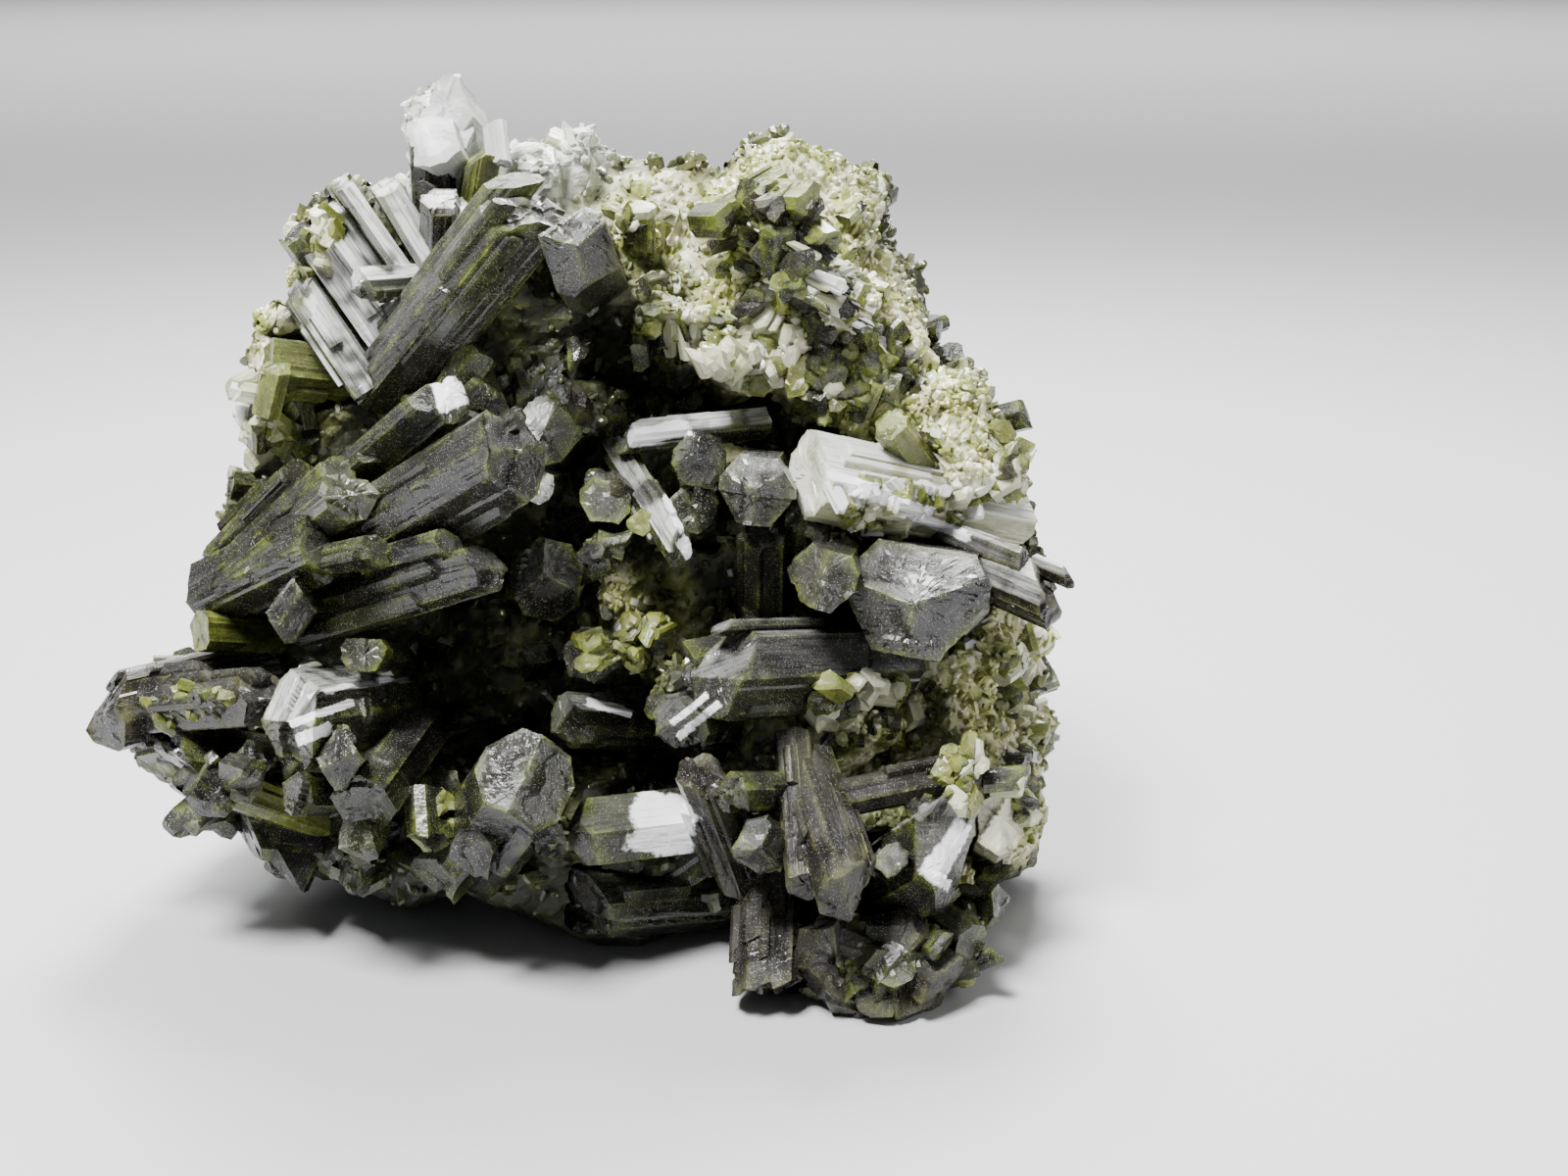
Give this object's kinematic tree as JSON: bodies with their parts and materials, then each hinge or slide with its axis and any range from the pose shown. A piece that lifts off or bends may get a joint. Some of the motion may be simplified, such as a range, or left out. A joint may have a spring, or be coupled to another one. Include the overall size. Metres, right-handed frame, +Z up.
{
  "type": "epidote crystal cluster",
  "caption": "Free-standing mineral specimen: dark olive epidote prisms, single and in parallel sheaves, on pale green crusted rock with a deep hollow.",
  "frame": {"origin": "middle of the bounding box's footprint, at the height of the flat base", "axes": "+Z up, +X to the viewer's right when the crystal face is seen, -Y toward the viewer"},
  "size_m": [0.0702, 0.0508, 0.0593],
  "materials": {
    "dark_crystal": "glassy, striated",
    "olive_crystal": "glassy, striated",
    "brown_crystal": "dusty, striated",
    "yellow_crystal": "glassy",
    "pale_crystal": "cracked, frosted",
    "crusted_rock": "rough, granular"
  },
  "bodies": {
    "root": {"back_centre_prisms": "olive_crystal", "back_crossing_prisms": "dark_crystal", "back_left_prism": "olive_crystal", "back_low_prism": "brown_crystal", "back_middle_prism": "olive_crystal", "back_right_prisms": "dark_crystal", "back_upper_prism": "dark_crystal", "base_slab": "dark_crystal", "big_dark_crystal": "dark_crystal", "bright_blade": "olive_crystal", "bright_striated_prism": "olive_crystal", "centre_block": "olive_crystal", "centre_dark_prism": "dark_crystal", "centre_pyramid": "dark_crystal", "cracked_crystal": "pale_crystal", "crossing_prisms": "brown_crystal", "crumbly_prism": "brown_crystal", "end_on_crystal": "dark_crystal", "far_left_prism": "brown_crystal", "foot_prism": "brown_crystal", "green_edged_blade": "yellow_crystal", "grey_cube_crystal": "olive_crystal", "highlight_block": "olive_crystal", "large_frosted_crystal": "olive_crystal", "leaf_crystal": "olive_crystal", "left_bright_bar": "olive_crystal", "left_green_block": "yellow_crystal", "left_green_stub": "yellow_crystal", "level_block": "olive_crystal", "level_olive_prism": "brown_crystal", "low_centre_crystal": "dark_crystal", "lower_block": "dark_crystal", "lower_left_body": "dark_crystal", "lower_right_block": "olive_crystal", "matrix": "crusted_rock", "mound_crystals": "dark_crystal", "mound_olive_prism": "yellow_crystal", "pale_slab": "pale_crystal", "pocket_block": "dark_crystal", "projecting_prism": "brown_crystal", "right_pale_block": "pale_crystal", "right_side_prism": "olive_crystal", "right_yellow_prism": "yellow_crystal", "round_end_crystal": "dark_crystal", "sheaf_left": "olive_crystal", "sheaf_lower": "dark_crystal", "sheaf_stub": "dark_crystal", "sheaf_upper": "dark_crystal", "small_pyramid": "dark_crystal", "small_right_block": "olive_crystal", "stepped_crystal": "olive_crystal", "striated_flank": "dark_crystal", "striated_prism": "dark_crystal", "tall_brown_crystal": "brown_crystal", "top_blade": "olive_crystal", "top_grey_prisms": "brown_crystal", "top_yellow_prism": "yellow_crystal", "under_slab": "dark_crystal", "upper_left_slabs": "olive_crystal", "upright_prism": "dark_crystal"}
  },
  "joints": []
}
